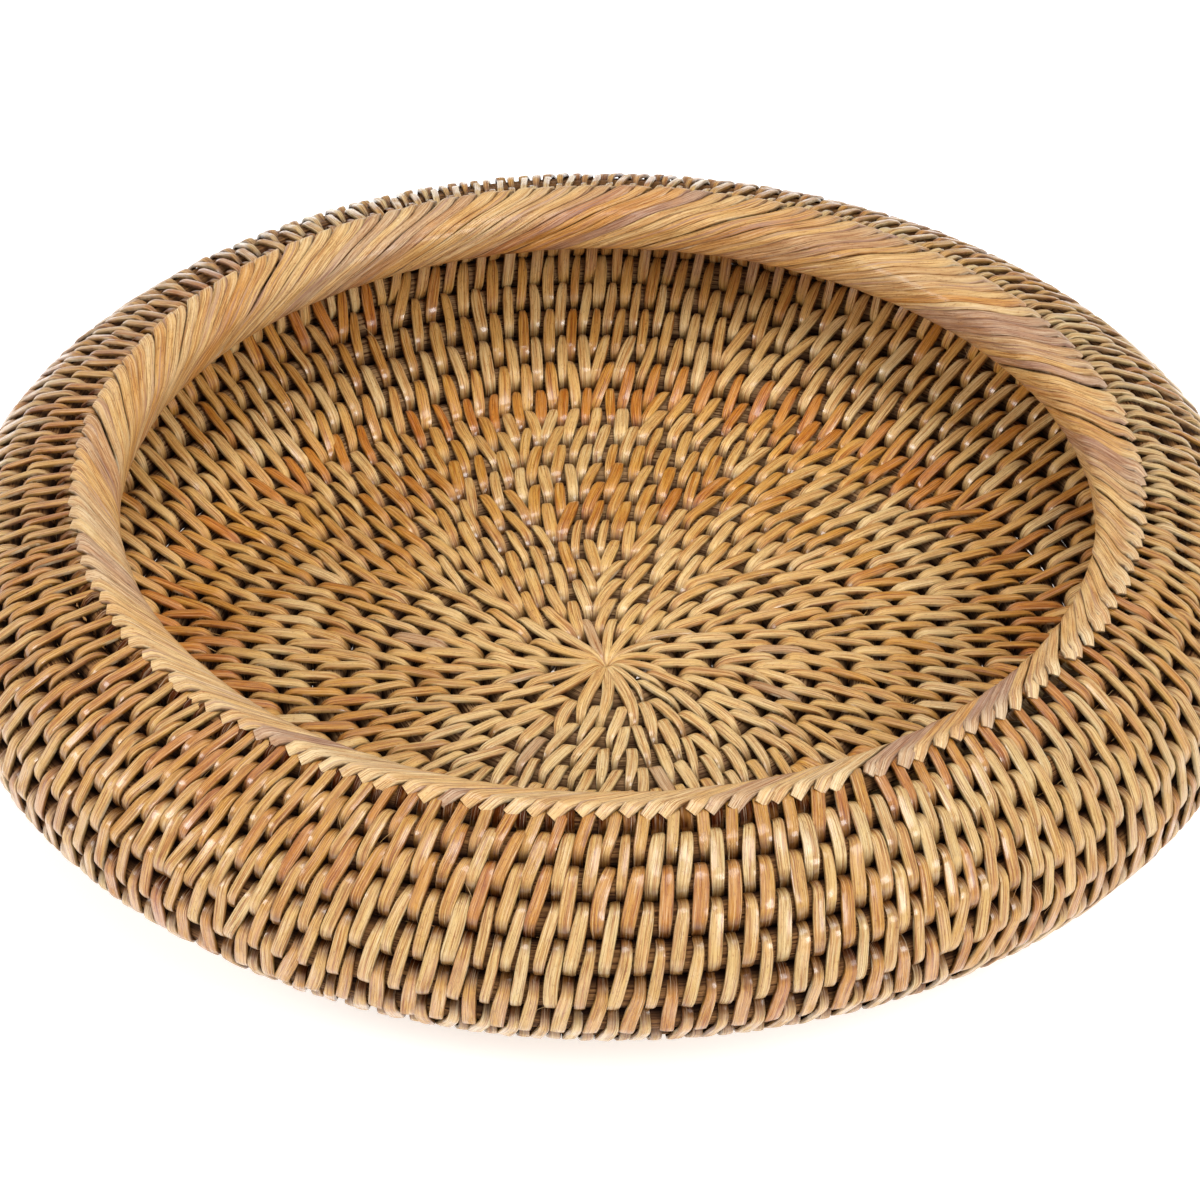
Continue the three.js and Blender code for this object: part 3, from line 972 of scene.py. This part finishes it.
FLARED = FLOOR_TURNS + FLARE_TURNS       # the last turn of the flare,
BELLIED = FLARED + BELLY_TURNS           # and of the belly
CORES = [                        # name, from and to which turn, and the CAD nodes it stands for
    ("core_floor", 1, FLOOR_TURNS + 0.5, ["start_eye"] + coil_nodes("floor", 2, FLOOR_TURNS)),
    ("core_flare", FLOOR_TURNS + 0.5, FLARED + 0.5, coil_nodes("flare", FLOOR_TURNS + 1, FLARED)),
    ("core_belly", FLARED + 0.5, BELLIED + 0.5, coil_nodes("belly", FLARED + 1, BELLIED)),
    ("core_shoulder", BELLIED + 0.5, LAST_TURN, coil_nodes("shoulder", BELLIED + 1, LAST_TURN)),
]
ROW_GROUPS = [                   # the rows of loops that make one piece: zone, from and up to which turn
    ("floor", 1, 6), ("floor", 6, 9), ("floor", 9, 11), ("floor", 11, 13),
    ("flare", 13, 15), ("flare", 15, 17), ("flare", 17, 19),
    ("belly", 19, 21), ("belly", 21, 23),
    ("shoulder", 23, 24), ("shoulder", 24, LAST_TURN),
]
FACES = {INSIDE: "inside", OUTSIDE: "outside"}


def binding_nodes(zone, first, side):
    """The CAD nodes that a group of loops stands for."""
    if zone == "floor" and side == OUTSIDE:
        return ["floor_binding_underside"]
    nodes = [f"{zone}_binding_{FACES[side]}"]
    if first == FLOOR_TURNS and side == OUTSIDE:
        nodes.append("foot_ring_binding")
    return nodes


def build_basket():
    cane_look = cane_material("cane_core")
    straw_look = straw_material("straw_binding", roughness=0.30, violet=0.08, varnish=1.0, streaked=0.9)
    border_look = straw_material("border_strip", roughness=0.36, violet=0.6, varnish=0.4, streaked=0.6)
    for name, first, last, nodes in CORES:
        give(core_run(name, first, last), cane_look, "cane_core", *nodes)
    for piece, node in zip(border_canes(), ("border_cane_upper", "border_cane_lower")):
        give(piece, cane_look, "cane_core", node)
    for side, face in FACES.items():
        strips, places = binding(side)
        for zone, first, last in ROW_GROUPS:
            rows = part_of(strips, between(places, (first, last)))
            piece = strips_piece(f"{zone}_strips_{face}_from_{first:02d}", rows)
            give(piece, straw_look, "straw_binding", *binding_nodes(zone, first, side))
        give(strips_piece(f"loose_fibres_{face}", loose_fibres(side)), straw_look, "straw_binding")
    give(strips_piece("border_strips", border_strips()), border_look, "border_strip", "border_binding")


# ---- floor, lights and camera, in metres ----
STAGE_SIZE = 8
STAGE_HEIGHT = -0.0002           # the foot's lowest strips rest on it
SKY_STRENGTH = 0.53
AIM = (0, 0, 0.03)
LIGHTS = [                       # name, place, width, height and power in watts
    ("overhead", (0.1, -0.1, 1.5), 0.7, 0.7, 10),
    ("front_right", (0.85, -1.0, 1.0), 0.5, 0.7, 13),
    ("left", (-1.2, -0.3, 0.7), 0.5, 0.5, 8.5),
]
# The camera: straight on, above the rim, its picture a little turned.
VIEW_HEIGHT = 36.5
VIEW_DISTANCE = 1.587
VIEW_TARGET = (0, 0, 0.027)
VIEW_LENS = 209.8
VIEW_SENSOR = 36
VIEW_ROLL = 0.58
VIEW_SHIFT = (-0.0056, -0.0022)


def build_stage():
    bpy.ops.mesh.primitive_plane_add(size=STAGE_SIZE, location=(0, 0, STAGE_HEIGHT))
    floor = bpy.context.object
    floor.name = "floor"
    floor.data.materials.append(floor_material())


def add_light(name, place, width, height, power):
    """A flat soft light, its height upright, aimed at the basket."""
    data = bpy.data.lights.new(name, "AREA")
    data.energy = power
    data.shape = "RECTANGLE"
    data.size = width
    data.size_y = height
    light = bpy.data.objects.new(name, data)
    light.location = place
    light.rotation_euler = (Vector(AIM) - Vector(place)).to_track_quat("-Z", "Y").to_euler()
    bpy.context.scene.collection.objects.link(light)


def build_lights():
    world = bpy.data.worlds.new("studio")
    world.use_nodes = True
    back = world.node_tree.nodes["Background"]
    back.inputs["Color"].default_value = grey(1.0)
    back.inputs["Strength"].default_value = SKY_STRENGTH
    bpy.context.scene.world = world
    for light in LIGHTS:
        add_light(*light)


def build_camera():
    data = bpy.data.cameras.new("camera")
    data.lens = VIEW_LENS
    data.sensor_width = VIEW_SENSOR
    data.shift_x, data.shift_y = VIEW_SHIFT
    camera = bpy.data.objects.new("camera", data)
    height = math.radians(VIEW_HEIGHT)
    target = Vector(VIEW_TARGET)
    camera.location = target + VIEW_DISTANCE * Vector((0, -math.cos(height), math.sin(height)))
    look = (target - camera.location).to_track_quat("-Z", "Y")
    camera.rotation_mode = "QUATERNION"
    camera.rotation_quaternion = look @ Quaternion((0, 0, 1), math.radians(VIEW_ROLL))
    bpy.context.scene.collection.objects.link(camera)
    bpy.context.scene.camera = camera


build_camera()
build_stage()
build_lights()
build_basket()
bpy.context.scene.view_settings.view_transform = "Standard"
